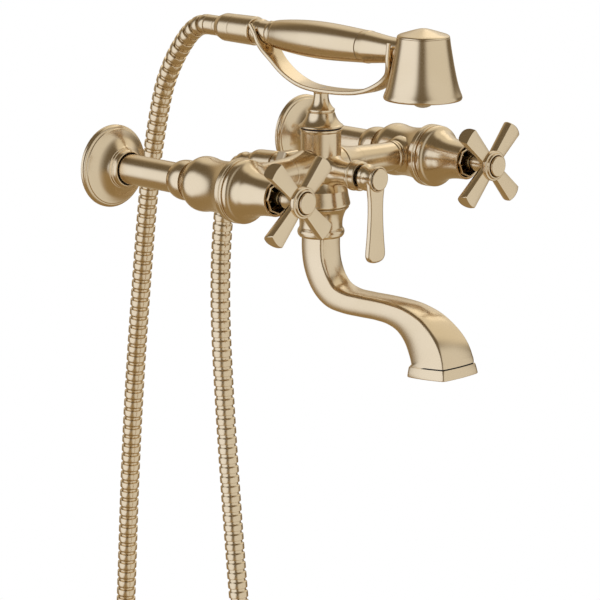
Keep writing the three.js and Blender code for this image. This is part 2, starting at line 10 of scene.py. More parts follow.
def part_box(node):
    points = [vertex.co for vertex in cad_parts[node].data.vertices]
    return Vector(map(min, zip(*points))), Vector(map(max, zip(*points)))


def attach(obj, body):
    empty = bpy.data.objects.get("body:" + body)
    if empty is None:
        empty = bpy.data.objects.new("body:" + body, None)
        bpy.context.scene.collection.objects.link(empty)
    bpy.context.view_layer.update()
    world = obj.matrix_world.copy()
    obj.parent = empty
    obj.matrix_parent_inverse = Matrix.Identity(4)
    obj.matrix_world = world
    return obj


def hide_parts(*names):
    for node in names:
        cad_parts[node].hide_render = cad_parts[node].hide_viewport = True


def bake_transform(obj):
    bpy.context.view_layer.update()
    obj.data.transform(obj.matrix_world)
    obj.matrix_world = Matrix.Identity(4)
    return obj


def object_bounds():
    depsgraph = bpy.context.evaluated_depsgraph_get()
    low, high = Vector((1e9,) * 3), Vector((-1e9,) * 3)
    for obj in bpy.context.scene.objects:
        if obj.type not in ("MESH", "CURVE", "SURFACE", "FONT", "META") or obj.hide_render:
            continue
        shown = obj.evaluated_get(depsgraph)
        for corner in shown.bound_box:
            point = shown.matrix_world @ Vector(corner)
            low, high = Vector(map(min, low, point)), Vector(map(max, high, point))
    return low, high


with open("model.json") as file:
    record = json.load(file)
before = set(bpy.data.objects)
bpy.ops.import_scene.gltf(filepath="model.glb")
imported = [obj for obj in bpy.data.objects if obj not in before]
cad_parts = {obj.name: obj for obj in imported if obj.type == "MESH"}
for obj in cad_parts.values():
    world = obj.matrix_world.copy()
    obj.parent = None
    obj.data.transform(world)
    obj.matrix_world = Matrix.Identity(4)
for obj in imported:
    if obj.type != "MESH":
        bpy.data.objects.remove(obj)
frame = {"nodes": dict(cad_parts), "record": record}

CAD_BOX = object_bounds()
MM = 0.001


def middle(node):
    low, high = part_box(node)
    return (low + high) / 2 / MM


# ---------------------------------------------------------------- places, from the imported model

HOT = middle("hot_supply_arm").x
COLD = middle("cold_supply_arm").x
COLUMN = middle("cradle_post").y
HANDSET = middle("handset_grip").z
HEAD = middle("head_bell").y
OUTLET_TILT = math.radians(3.3)


def outward(x, z):
    """Turned heights become distances from the wall."""
    return Matrix.Translation((x, 0, z)) @ Matrix.Rotation(math.pi / 2, 4, "X")


def upward(y):
    """Turned heights stay heights, about an upright axis."""
    return Matrix.Translation((0, y, 0))


def sideways(side):
    """Turned heights run from the column's axis towards one valve."""
    return Matrix.Translation((0, COLUMN, 0)) @ Matrix.Rotation(side * math.pi / 2, 4, "Y")


def backward():
    """Turned heights run from the column's axis towards the wall, a little downwards."""
    turn = Matrix.Rotation(-math.pi / 2 - OUTLET_TILT, 4, "X")
    return Matrix.Translation((0, COLUMN, 0)) @ turn


# ---------------------------------------------------------------- camera

AIM = Vector((-12.2, COLUMN + 10.1, -100.6)) * MM
CAMERA_DISTANCE = 2.2334
CAMERA_AZIMUTH = math.radians(-44.9)
CAMERA_ELEVATION = math.radians(13.12)
LENS = 176.9
SENSOR_WIDTH = 36


def make_camera():
    flat = math.cos(CAMERA_ELEVATION)
    back = Vector((
        math.sin(CAMERA_AZIMUTH) * flat,
        -math.cos(CAMERA_AZIMUTH) * flat,
        math.sin(CAMERA_ELEVATION),
    ))
    data = bpy.data.cameras.new("camera")
    data.sensor_width = SENSOR_WIDTH
    data.lens = LENS
    camera = bpy.data.objects.new("camera", data)
    camera.location = AIM + back * CAMERA_DISTANCE
    camera.rotation_mode = "QUATERNION"
    camera.rotation_quaternion = (-back).to_track_quat("-Z", "Y")
    bpy.context.scene.collection.objects.link(camera)
    bpy.context.scene.camera = camera


make_camera()


# ---------------------------------------------------------------- materials

def shader(name, **constants):
    material = bpy.data.materials.new(name)
    material.use_nodes = True
    surface = material.node_tree.nodes["Principled BSDF"]
    for socket, value in constants.items():
        surface.inputs[socket.replace("_", " ")].default_value = value
    return material, material.node_tree, surface


# Noise stays near a half, so its middle stretch is what gets mapped to colours and polish.
NOISE_LOW = 0.3
NOISE_HIGH = 0.7


def noise(tree, scale, detail):
    """Noise in the object's own metres."""
    place = tree.nodes.new("ShaderNodeTexCoord")
    texture = tree.nodes.new("ShaderNodeTexNoise")
    texture.inputs["Scale"].default_value = scale
    texture.inputs["Detail"].default_value = detail
    tree.links.new(place.outputs["Object"], texture.inputs["Vector"])
    return texture.outputs["Fac"]


def spread(tree, value, low, high):
    """Maps noise onto a range of values."""
    span = tree.nodes.new("ShaderNodeMapRange")
    span.inputs["From Min"].default_value = NOISE_LOW
    span.inputs["From Max"].default_value = NOISE_HIGH
    span.inputs["To Min"].default_value = low
    span.inputs["To Max"].default_value = high
    tree.links.new(value, span.inputs["Value"])
    return span.outputs["Result"]


def tint(tree, value, dark, light):
    """Maps noise onto a range of colours."""
    ramp = tree.nodes.new("ShaderNodeValToRGB")
    first, last = ramp.color_ramp.elements
    first.position, first.color = NOISE_LOW, (*dark, 1)
    last.position, last.color = NOISE_HIGH, (*light, 1)
    tree.links.new(value, ramp.inputs["Fac"])
    return ramp.outputs["Color"]


def bump(tree, surface, value, depth):
    """Relief of the given depth in metres."""
    node = tree.nodes.new("ShaderNodeBump")
    node.inputs["Distance"].default_value = depth
    tree.links.new(value, node.inputs["Height"])
    tree.links.new(node.outputs["Normal"], surface.inputs["Normal"])


CLOUD = 28  # scale of the slow drift in a metal's colour
MICRON = 0.000001


def metal(name, dark, light, rough, grain=1500, depth=10 * MICRON):
    """A satin metal: its colour drifts slowly, and a fine grain breaks up the gloss."""
    material, tree, surface = shader(name, Metallic=1.0)
    cloud = noise(tree, CLOUD, 3)
    fine = noise(tree, grain, 4)
    tree.links.new(tint(tree, cloud, dark, light), surface.inputs["Base Color"])
    tree.links.new(spread(tree, fine, *rough), surface.inputs["Roughness"])
    bump(tree, surface, fine, depth)
    return material


def plain(name, dark, light, rough, grain):
    """Rubber or plastic, with one grain for its colour, polish and relief."""
    material, tree, surface = shader(name)
    fine = noise(tree, grain, 5)
    tree.links.new(tint(tree, fine, dark, light), surface.inputs["Base Color"])
    tree.links.new(spread(tree, fine, *rough), surface.inputs["Roughness"])
    bump(tree, surface, fine, 40 * MICRON)
    return material


# Each finish has a dark and a light colour and its lowest and highest roughness.
GOLD = metal(
    "satin_gold", (0.725, 0.565, 0.345), (0.755, 0.595, 0.375), (0.19, 0.23), 900, 0.6 * MICRON
)
BRASS = metal(
    "machined_brass", (0.62, 0.44, 0.18), (0.72, 0.54, 0.25), (0.25, 0.42), depth=2 * MICRON
)
STEEL = metal("screw_steel", (0.50, 0.49, 0.47), (0.62, 0.61, 0.59), (0.22, 0.4))
# Painted shade: SHADED is a dark brass for the rings that stand for the shade inside the valves'
# gland recesses.
SHADED = metal("painted_shade_brass", (0.09, 0.065, 0.035), (0.14, 0.10, 0.055), (0.4, 0.5))
RUBBER = plain("black_rubber", (0.012, 0.011, 0.010), (0.03, 0.028, 0.026), (0.6, 0.85), 1800)
PLASTIC = plain("spray_plastic", (0.36, 0.25, 0.12), (0.42, 0.30, 0.15), (0.4, 0.5), 1600)
FINISHES = {"gold": GOLD, "brass": BRASS, "steel": STEEL, "rubber": RUBBER, "plastic": PLASTIC}


# ---------------------------------------------------------------- outlines

EDGE = 0.25  # radius of a broken edge
STEP = 1.0  # spacing of the points along an outline
EDGE_SHARE = 0.4  # most of a run that one broken edge takes up
NEAR_ZERO = 1e-6


def spline(points, spacing=STEP):
    """Evenly spaced points on the centripetal spline through the given ones."""
    points = np.array(points, float)
    if len(points) == 2:
        count = max(2, int(np.linalg.norm(points[1] - points[0]) / spacing) + 1)
        return points[0] + (points[1] - points[0]) * np.linspace(0, 1, count)[:, None]
    padded = np.vstack([2 * points[0] - points[1], points, 2 * points[-1] - points[-2]])
    knots = np.cumsum([0, *np.sqrt(np.linalg.norm(np.diff(padded, axis=0), axis=1))])
    made = [points[0]]
    for i in range(1, len(padded) - 2):
        a, b, c, d = padded[i - 1:i + 3]
        ta, tb, tc, td = knots[i - 1:i + 3]
        count = max(2, int(np.linalg.norm(c - b) / spacing) + 1)
        t = np.linspace(tb, tc, count + 1)[1:, None]
        ab = (tb - t) / (tb - ta) * a + (t - ta) / (tb - ta) * b
        bc = (tc - t) / (tc - tb) * b + (t - tb) / (tc - tb) * c
        cd = (td - t) / (td - tc) * c + (t - tc) / (td - tc) * d
        ac = (tc - t) / (tc - ta) * ab + (t - ta) / (tc - ta) * bc
        bd = (td - t) / (td - tb) * bc + (t - tb) / (td - tb) * cd
        made.extend((tc - t) / (tc - tb) * ac + (t - tb) / (tc - tb) * bd)
    return np.array(made)


def lengths(points):
    """How far along the polyline each of its points lies."""
    return np.concatenate([[0], np.cumsum(np.linalg.norm(np.diff(points, axis=0), axis=1))])


def at_length(points, where):
    """The points that lie the given lengths along the polyline."""
    along = lengths(points)
    return np.stack([np.interp(where, along, points[:, k]) for k in range(points.shape[1])], -1)


def trimmed(points, start, end):
    """The polyline without its first and last stretches."""
    along = lengths(points)
    inner = points[(along > start + NEAR_ZERO) & (along < along[-1] - end - NEAR_ZERO)]
    ends = at_length(points, [start, along[-1] - end])
    return np.vstack([ends[:1], inner, ends[1:]])


def rounded(outline, closed, edge=EDGE, spacing=STEP, arc=4):
    """An outline as dense points. A pair is a corner, which gets a small radius of arc steps, and
    a list of pairs is passed through smoothly."""
    corners = [k for k, item in enumerate(outline) if isinstance(item, tuple)]
    runs = []
    for first, second in zip(corners, corners[1:] + corners[:1] if closed else corners[1:]):
        between = outline[first + 1:second] if second > first else outline[first + 1:]
        through = [point for group in between for point in group]
        runs.append(spline([outline[first], *through, outline[second]], spacing))
    sizes = [lengths(run)[-1] for run in runs]
    made = []
    for k, run in enumerate(runs):
        following = sizes[(k + 1) % len(runs)]
        before = min(edge, EDGE_SHARE * sizes[k], EDGE_SHARE * sizes[k - 1])
        after = min(edge, EDGE_SHARE * sizes[k], EDGE_SHARE * following)
        if not closed and k == 0:
            before = 0
        if not closed and k == len(runs) - 1:
            after = 0
        body = trimmed(run, before, after)
        if before and made:
            made.extend(corner_arc(made[-1], run[0], body[0], arc))
        made.extend(body)
    if closed:
        made.extend(corner_arc(made[-1], runs[0][0], made[0], arc))
    return np.array(made)


def corner_arc(start, corner, end, steps):
    """The inner points of a parabola from start to end that is tangent to both legs."""
    t = np.linspace(0, 1, steps + 1)[1:-1, None]
    return list((1 - t) ** 2 * start + 2 * t * (1 - t) * corner + t ** 2 * end)


# ---------------------------------------------------------------- meshes

def mesh_of(name, vertices, faces):
    mesh = bpy.data.meshes.new(name)
    mesh.from_pydata([tuple(v) for v in vertices], [], faces)
    mesh.update()
    return mesh


def facing_out(mesh):
    """Joins doubled vertices and turns all faces outwards."""
    work = bmesh.new()
    work.from_mesh(mesh)
    bmesh.ops.remove_doubles(work, verts=work.verts, dist=1e-5)
    bmesh.ops.recalc_face_normals(work, faces=work.faces)
    work.to_mesh(mesh)
    work.free()
    return mesh


def shaded(mesh, angle):
    """Smooth shading that breaks at edges sharper than the angle."""
    work = bmesh.new()
    work.from_mesh(mesh)
    for face in work.faces:
        face.smooth = True
    limit = math.radians(angle)
    for edge in work.edges:
        edge.smooth = len(edge.link_faces) == 2 and edge.calc_face_angle(0) < limit
    work.to_mesh(mesh)
    work.free()
    return mesh


def regular(corners):
    """How far a polygon's flats lie inside its corners' circle, for each direction."""
    half = math.pi / corners

    def share(angle):
        return np.cos(half) / np.cos((angle % (2 * half)) - half)

    return share


def turned(outline, sides=96, facets=None, facets_from=0, edge=EDGE, spacing=STEP):
    """A turned solid about Z. The outline is radius and height, starts and ends on the axis or
    is closed. Radii beyond facets_from can follow a polygon."""
    on_axis = outline[0][0] == 0
    section = rounded(outline, not on_axis, edge, spacing)
    angles = np.linspace(0, 2 * np.pi, sides, endpoint=False)
    share = regular(facets)(angles) if facets else np.ones(sides)
    vertices, rings = [], []
    for radius, height in section:
        if radius < NEAR_ZERO:
            rings.append([len(vertices)])
            vertices.append((0, 0, height))
            continue
        reach = radius * (share if radius > facets_from else np.ones(sides))
        rings.append(list(range(len(vertices), len(vertices) + sides)))
        vertices.extend(zip(reach * np.cos(angles), reach * np.sin(angles), [height] * sides))
    return facing_out(mesh_of("turned", vertices, skinned(rings, not on_axis)))


def skinned(rings, closed):
    """Faces between successive rings of the same size, or between a ring and a single point."""
    faces = []
    pairs = list(zip(rings, rings[1:] + rings[:1] if closed else rings[1:]))
    for low, high in pairs:
        size = max(len(low), len(high))
        if len(low) == len(high) == 1:
            continue
        for k in range(size):
            after = (k + 1) % size
            under = [low[k % len(low)], low[after % len(low)]]
            over = [high[after % len(high)], high[k % len(high)]]
            faces.append(list(dict.fromkeys(under + over)))
    return faces


def lofted(sections):
    """A closed skin over a list of equal rings of points, with a flat cap at each end."""
    size = len(sections[0])
    rings = [list(range(k * size, (k + 1) * size)) for k in range(len(sections))]
    faces = skinned(rings, False) + [rings[0][::-1], rings[-1]]
    return facing_out(mesh_of("lofted", np.vstack(sections), faces))


def slab(outline, low, high, bevel=0.4, segments=3):
    """A flat outline in X and Z, given a thickness along Y, with rounded rims."""
    points = rounded(outline, True, 0.3)
    rings = [[(x, y, z) for x, z in points] for y in (low, high)]
    mesh = lofted(rings)
    work = bmesh.new()
    work.from_mesh(mesh)
    rims = [edge for edge in work.edges if any(len(face.verts) > 4 for face in edge.link_faces)]
    bmesh.ops.bevel(work, geom=rims, offset=bevel, segments=segments, affect="EDGES", profile=0.5)
    work.to_mesh(mesh)
    work.free()
    return mesh


def placed(mesh, matrix):
    """Moves a mesh, and keeps its faces outwards if the matrix mirrors it."""
    mesh.transform(matrix)
    if matrix.determinant() < 0:
        mesh.flip_normals()
    return mesh


def joined(meshes):
    """Several closed meshes as one mesh, each left as it is."""
    work = bmesh.new()
    for mesh in meshes:
        work.from_mesh(mesh)
    made = bpy.data.meshes.new("joined")
    work.to_mesh(made)
    work.free()
    return made


def merged(mesh, *others, how="UNION"):
    """Exact union or difference of closed meshes."""
    base = bpy.data.objects.new("base", mesh)
    bpy.context.scene.collection.objects.link(base)
    for other in others:
        tool = bpy.data.objects.new("tool", other)
        bpy.context.scene.collection.objects.link(tool)
        change = base.modifiers.new("merge", "BOOLEAN")
        change.operation = how
        change.solver = "EXACT"
        change.object = tool
    bpy.context.view_layer.update()
    view = bpy.context.evaluated_depsgraph_get()
    result = bpy.data.meshes.new_from_object(base.evaluated_get(view))
    tools = [change.object for change in base.modifiers]
    for made in [base, *tools]:
        bpy.data.objects.remove(made)
    return result


RECORD = frame["record"]
BODY_OF = {node: body for body, nodes in RECORD["behaviour"]["bodies"].items() for node in nodes}
SLOT_OF = {part["node"]: part["material_slot"] for part in RECORD["subparts"]}


def finished(name, mesh, finish, angle=32):
    """Turns a mesh in millimetres into a shaded object in metres, with its finish."""
    mesh.transform(Matrix.Scale(MM, 4))
    shaded(mesh, angle)
    made = bpy.data.objects.new(name, mesh)
    bpy.context.scene.collection.objects.link(made)
    mesh.materials.clear()
    mesh.materials.append(finish)
    return made


def piece(node, mesh, angle=32, ride=True):
    """The finished piece that stands for one CAD node."""
    made = finished(node + "_finished", mesh, FINISHES[SLOT_OF[node]], angle)
    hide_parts(node)
    if ride:
        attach(made, BODY_OF[node])
    return made


def painted_shade_ring(name, mesh, finish=RUBBER, body="fixed_body"):
    """Painted shade: a dark ring put in the shadow of a joint, where there is only shade, which
    has no node of its own.
    """
    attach(finished(name, mesh, finish), body)


# ---------------------------------------------------------------- hose

# Centre line in the plane x = 0, as distance behind the wall face and height, in millimetres,
# from the handset's tail down round the loop and back to the outlet.
HOSE_ROUTE = [
    (0.2, HANDSET), (3, 97.15), (11, 95.3), (20.5, 89.4), (30, 79.6), (38.6, 68.4), (45.8, 56.6),
    (51.6, 44.6), (56.5, 30), (65.9, -7.8), (72.6, -46), (81.9, -116.3), (92.8, -211.7),
    (99.5, -288), (105.2, -374), (109.6, -440), (112.2, -500), (111.8, -541), (101, -581),
    (75, -608), (36, -618), (-4, -608), (-31, -581), (-43, -541), (-43.4, -500),
    (-36.4, -420), (-27.6, -342.7), (-19.8, -262.8), (-13.9, -191.7), (-10.6, -135.4),
    (-10.6, -101.5), (-12.2, -72), (-15.2, -48), (-19.8, -31), (-26.3, -17), (-34.5, -7.6),
    (-42, -4.6), (-44.6, -4.4),
]
HOSE_PITCH = 7.87
HOSE_SIDES = 40
HOSE_REACH = 0.6  # how far to each side the hose's direction is taken over
# One ring of the hose, as radius and share of the pitch: a wide band with a rolled lip, a
# chamfer, and the narrow neck that slides into the next ring's lip.
HOSE_RING = [
    (6.3, 0.07), (6.6, 0.0), (7.4, 0.0), (7.7, 0.02), (7.8, 0.07), (7.8, 0.3), (7.8, 0.56),
    (7.7, 0.6), (6.75, 0.71), (6.6, 0.75), (6.55, 0.88), (6.5, 1.0), (6.3, 1.06),
]


def make_hose():
    line = spline(HOSE_ROUTE[::-1])
    along = lengths(line)
    count = round(along[-1] / HOSE_PITCH)
    pitch = along[-1] / count
    rings = [(radius, (k + share) * pitch) for k in range(count) for radius, share in HOSE_RING]
    radii = np.array([radius for radius, _ in rings])
    # The bands start at the handset, which is where the route starts and the line ends.
    where = along[-1] - np.clip([distance for _, distance in rings], 0, along[-1])
    after = at_length(line, np.minimum(where + HOSE_REACH, along[-1]))
    before = at_length(line, np.maximum(where - HOSE_REACH, 0))
    ahead = after - before
    ahead /= np.linalg.norm(ahead, axis=1)[:, None]
    angles = np.linspace(0, 2 * np.pi, HOSE_SIDES, endpoint=False)
    sections = []
    for radius, (y, z), (ty, tz) in zip(radii, at_length(line, where), ahead):
        across, normal = radius * np.cos(angles), radius * np.sin(angles)
        sections.append(np.stack([across, y - tz * normal, z + ty * normal], -1))
    made = piece("hose", lofted(sections), angle=50, ride=False)
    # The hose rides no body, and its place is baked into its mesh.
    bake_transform(made)


make_hose()


# ---------------------------------------------------------------- valves

def wall_flange():
    return turned([
        (28.4, 0), (31.3, 0), (31.3, 2.0), (30.6, 2.7), (30.3, 3.3), (29.3, 4.0), (28.7, 4.1),
        (28.3, 4.8), [(26, 5.7), (22, 7.7), (18.6, 10.4), (16.3, 12.8)], (15.4, 14.1),
        (14.9, 14.3), (14.9, 15.9), (14.2, 16.3), (14.1, 18.3), (13.2, 19.9), (12.4, 20),
        (12.4, 17), (13.7, 17), (13.7, 10.6), (26, 4), (28.4, 2),
    ])


def flange_seal():
    return turned([(11.7, 12), (13.3, 12), (13.3, 16.8), (12.2, 17), (12.2, 18.6), (11.7, 18.6)])


def supply_arm():
    return turned([
        (7.4, -12), (10.45, -12), (10.45, 1), (11.4, 2), (11.4, 86), (8.2, 86), (8.2, 2), (7.4, 1),
    ])


def union_nut():
    return turned([
        (11.7, 73.4), (12.1, 73.4), [(13.1, 75), (14.4, 78.3), (15.0, 82), (15.0, 85)],
        (14.6, 88.6), (11.7, 88.6), (11.7, 86.2), (11.7, 76),
    ])


def valve_body(side):
    """The waisted body, with the boss that meets the bridge tube."""
    body = turned([
        (9, 88.9), (13.9, 88.9),
        [(14.6, 90.4), (16, 92.9), (18.2, 96.2), (19.9, 99.8), (20.45, 103.2), (20.2, 107),
         (19.5, 111), (19.05, 117), (19.3, 123.5), (20.1, 129), (21.2, 133)],
        (22.3, 136.4), (15.2, 136.4), (15.2, 104), (9, 99),
    ])
    boss = turned([
        (0, 14), (14.6, 14), [(14.2, 16), (12.6, 19.4)], (11.5, 20.6), (11.3, 22.2), (0, 22.2),
    ])
    chamber = turned([(0, 104), (15.2, 104), (15.2, 136), (0, 136)])
    towards = Matrix.Translation((0, 0, -COLUMN)) @ Matrix.Rotation(-side * math.pi / 2, 4, "Y")
    return merged(merged(body, placed(boss, towards)), chamber, how="DIFFERENCE")


def bonnet():
    return turned([
        (19, 136.8), (23.1, 136.8), (23.8, 137.6), (23.9, 141.1), (23.3, 141.5), (23.3, 142.0),
        (23.8, 142.4), (23.7, 143.9), (22.2, 144.2), (22.2, 144.8), (23.5, 145.2),
        [(23.5, 147.0), (22.6, 148.5), (20.9, 150.0), (19.3, 152.4), (18.0, 155.2),
         (16.8, 157.8), (15.8, 161), (14.9, 165.5), (14.3, 171), (14.05, 175.5)],
        (13.9, 178.4), (12.15, 178.3), (12.15, 176.5), (12.7, 176.2), (12.7, 160), (16.6, 151.6),
        (19, 146),
    ], edge=0.2)


def gland_nut():
    return turned([
        (4.2, 162), (12, 162), (12, 180.0), (11.75, 180.5), (11.1, 180.5), (10.9, 180.0),
        (10.9, 165.5), (4.2, 165.5),
    ], facets=8, facets_from=10, edge=0.15)


def stem():
    return turned([
        (0, 110), (3.6, 110), (3.6, 178.6), (4.8, 179.4), (4.8, 182.2), (3.6, 183), (3.6, 197),
        (1.5, 197), (1.5, 188), (0, 188),
    ], sides=64)


HANDLE_FRONT = 203.7
HANDLE_CROWN = 0.4
ARM_START = 4
ARM_REACH = 35.3
ARM_BOW = 1.7  # how far the middle of the arm's end stands past its sides
ARM_CROWN = 0.9  # how far it stands past its front and back
ARM_HALF = (4.3, 6.9)  # half width at the hub and at the end
ARM_DEPTH = (8.8, 10.6)
ARM_FLARE = 0.9  # power of the widening
ARM_CORNER = 0.5
ARM_ROUND = 2 / 3.2  # power of the superellipse behind
ARM_END_DROP = 5  # how much the front falls where the end is rounded off
# Each section's place from the hub to the end, and its size where the end is rounded off.
ARM_SECTIONS = [
    (0.0, 1), (0.18, 1), (0.36, 1), (0.54, 1), (0.72, 1), (0.86, 1), (0.97, 1), (0.99, 0.985),
    (1.0, 0.955),
]


def signed_power(value, power):
    return math.copysign(abs(value) ** power, value)


def arm_ring(t, size):
    """The arm's section as width and height: crowned in front and rounded behind."""
    half = (ARM_HALF[0] + (ARM_HALF[1] - ARM_HALF[0]) * t ** ARM_FLARE) * size
    depth = (ARM_DEPTH[0] + (ARM_DEPTH[1] - ARM_DEPTH[0]) * t) * size
    front = HANDLE_FRONT - (1 - size) * ARM_END_DROP
    face = [
        (x * (half - ARM_CORNER), front - HANDLE_CROWN * (x * x - 1))
        for x in np.linspace(-1, 1, 9)[1:-1]
    ]
    back = [
        (
            half * signed_power(math.cos(a), ARM_ROUND),
            front - ARM_CORNER - (depth - ARM_CORNER) * abs(math.sin(a)) ** ARM_ROUND,
        )
        for a in np.linspace(0, math.pi, 25)
    ]
    inset = ARM_CORNER * 0.3
    left, right = (inset - half, front - inset), (half - inset, front - inset)
    return [left, *face, right, *back], front - depth / 2, depth / 2


def handle_arm(angle):
    """One arm of the cross, which gets wider and deeper to its bowed end."""
    sections = []
    for t, size in ARM_SECTIONS:
        ring, centre, half_depth = arm_ring(t, size)
        points = []
        for across, height in ring:
            reach = ARM_REACH + ARM_BOW * (1 - (across / ARM_HALF[1]) ** 2)
            reach += ARM_CROWN * (1 - ((height - centre) / half_depth) ** 2)
            points.append((ARM_START + (reach - ARM_START) * t, across, height))
        sections.append(np.array(points))
    return placed(lofted(sections), Matrix.Rotation(angle, 4, "Z"))


def cross_handle():
    hub = turned([
        (0, 182.6), (4.8, 182.6), (5.1, 182.9), (5.1, 186.5), (4.8, 186.9), (6.2, 187.2),
        (6.5, 187.8), [(6.7, 191), (7.2, 195.5)], (8.0, 199.5), (10.8, 202.2), (11.5, 203.0),
        (11.54, 205.4), (11.1, 205.9), (10.0, 206.0), (9.8, 206.4), (9.8, 207.3), (9.4, 207.7),
        (8.6, 207.7), (8.3, 207.3), (8.3, 203.8), (0, 203.8),
    ])
    arms = [handle_arm(math.radians(angle)) for angle in (45, 135, 225, 315)]
    bore = turned([(0, 183), (3.9, 183), (3.9, 201), (0, 201)])
    recess = turned([(0, 200), (8.3, 200), (8.3, 207), (0, 207)])
    return merged(merged(hub, *arms), bore, recess, how="DIFFERENCE")


def index_cap():
    return turned([
        (0, 204.2), (7.4, 204.2), (7.75, 204.6), (7.75, 209.0), (7.35, 209.5), (0, 209.55),
    ])


def valve(prefix, x, side):
    """All the pieces on one valve's axis that show."""
    made = {
        "wall_flange": wall_flange(),
        "flange_seal": flange_seal(),
        "supply_arm": supply_arm(),
        "union_nut": union_nut(),
        "valve_body": valve_body(side),
        "bonnet": bonnet(),
        "gland_nut": gland_nut(),
        "stem": stem(),
        "cross_handle": cross_handle(),
        "index_cap": index_cap(),
    }
    for name, mesh in made.items():
        piece(f"{prefix}_{name}", placed(mesh, outward(x, 0)))


# ---------------------------------------------------------------- bridge and column

def centre_body():
    column = turned([
        (0, 31.9), (14.4, 31.9), (14.6, 31.4), (15.5, 31.3), (16, 30.9), (16, 29.7),
        (15.15, 28.7), (15.15, 1),
        [(15.5, -4), (16.6, -8.4), (18.2, -12)], (19.6, -14.4), (20.1, -15.2), (20.9, -20),
        (22.1, -25.2), (22.1, -26.4), (21.2, -27.4), (0, -27.4),
    ])
    bridge = turned([
        (0, -36), (12.9, -36), [(13.3, -31), (14.3, -25.4), (15.8, -19)], (16.3, -17.4),
        (16.3, -16.6), (15.6, -16), (15.6, 16), (16.3, 16.6), (16.3, 17.4),
        [(15.8, 19), (14.3, 25.4), (13.3, 31)], (12.9, 36), (0, 36),
    ], edge=0.1)
    stub = turned([
        (0, 0), (13.2, 0), (13.2, 13.2), [(11.6, 15.6), (10.2, 18.6), (9.6, 22)], (9.46, 25),
        (9.46, 34), (0, 34),
    ])
    boss = turned([
        (0, 0), (12.4, 0), (12.4, 13), [(11.6, 16), (11.1, 19)], (11, 22), (11, 29), (0, 29),
    ])
    shift = Matrix.Translation((0, 0, -COLUMN))
    placed(column, upward(COLUMN))
    placed(bridge, sideways(1))
    placed(stub, Matrix.Translation((0, COLUMN, 0)) @ Matrix.Rotation(math.pi / 2, 4, "X"))
    placed(boss, backward())
    return merged(column, bridge, stub, boss)


def bridge_tube():
    return turned([
        (7.5, 36.02), (12.9, 36.02), [(12.4, 45), (11.8, 55), (11.3, 66)], (11.05, 75.0),
        (11.1, 75.4), (11.7, 76.1), (11.8, 77.6), (11.2, 78.9), (7.5, 78.9),
    ], edge=0.1)


def cradle_post():
    return turned([
        (0, 32.3), (16.1, 32.3), (16.9, 32.9), (16.5, 33.7),
        [(15.2, 34.6), (13.4, 36.5), (11.9, 38.9), (10.9, 41.4)], (10.3, 43.4), (9.7, 43.7),
        (9.7, 44.0), (10.3, 44.4), (10.3, 45.8), (9.5, 46.4),
        [(8.4, 47.6), (7.1, 49.6), (6.1, 52.2), (5.65, 55)], (5.6, 57.6), (5.9, 58.8),
        (2.2, 58.8), (2.2, 46), (0, 46),
    ])


def spout_collar():
    return turned([
        (11.3, -27.7), (20.9, -27.7), (21.3, -28.3), (20.6, -29.2),
        [(18.9, -31.2), (17.5, -34.4), (16.6, -37.6), (16.25, -41)], (16.3, -43.6), (16.8, -44.6),
        (17.6, -45.8), (17.9, -47.4), (17.5, -49.4), (16.3, -51), (11.3, -51),
    ])


# Centre line of the strap as distance from the wall and height, and its thickness there.
CRADLE_LINE = [
    (56.2, 103.8, 3.2), (61.1, 97.0, 3.3), (66.6, 86.2, 3.4), (74.6, 78.2, 3.4),
    (85.8, 70.0, 3.3), (97.0, 64.8, 3.3), (107.3, 61.9, 3.3), (119.6, 60.65, 3.3),
    (138.4, 60.8, 3.3), (153.8, 61.9, 3.3), (164, 63.4, 3.4), (174.2, 66.2, 3.6),
    (184, 70.7, 3.9), (191.4, 75.4, 4.2), (196.6, 80.6, 4.2), (198.9, 86.6, 3.8),
    (199.6, 93, 3.6), (200.8, 103.8, 3.2),
]
CRADLE_HALF = 8
# Each fork's half width, the height where the strap starts to splay and over what rise it does.
BACK_FORK = (12.0, 76, 18)
FRONT_FORK = (12.4, 70, 24)
BACK_SEAT = 9.9  # radius of the round seat between the tines
FRONT_SEAT = 10.5
SEAT_RISE = 1  # how far the seats' centre is above the hand shower's axis
SLOT_RISE = 20  # how far above that the slots reach, past the tines' ends
SLOT_FRONT = -260


def fork_half(reach, height):
    """Half the strap's width: it splays out where the forks rise."""
    full, start, rise = BACK_FORK if reach < -COLUMN else FRONT_FORK
    t = min(max((height - start) / rise, 0), 1)
    return CRADLE_HALF + (full - CRADLE_HALF) * t * t * (3 - 2 * t)


def with_directions(line):
    """The line's points with the unit vector along it at each of them."""
    ahead = np.gradient(line[:, :2], axis=0)
    ahead /= np.linalg.norm(ahead, axis=1)[:, None]
    return zip(line, ahead)


def fork_slot(radius, front, back):
    """What is cut out between two tines: a round seat that is open at the top."""
    centre = HANDSET + SEAT_RISE
    top = centre + SLOT_RISE
    seat = [
        (-radius * math.cos(a), centre - radius * math.sin(a))
        for a in np.linspace(0, math.pi, 33)
    ]
    outline = [(-radius, top), seat[0], seat[1:-1], seat[-1], (radius, top)]
    return slab(outline, front, back, 0.01, 1)


def cradle():
    """The bent strap, with a round seat cut into each upright end."""
    sections = []
    for (reach, height, thick), (tu, tz) in with_directions(spline(CRADLE_LINE, 1.2)):
        half, deep = fork_half(reach, height), thick / 2
        corners = [(-half, -deep), (half, -deep), (half, deep), (-half, deep)]
        section = rounded(corners, True, 1.5, 40, 6)
        points = [(x, -(reach - tz * n), height + tu * n) for x, n in section]
        sections.append(np.array(points))
    slots = [fork_slot(BACK_SEAT, COLUMN, 0), fork_slot(FRONT_SEAT, SLOT_FRONT, COLUMN)]
    return merged(lofted(sections), *slots, how="DIFFERENCE")


# ---------------------------------------------------------------- spout

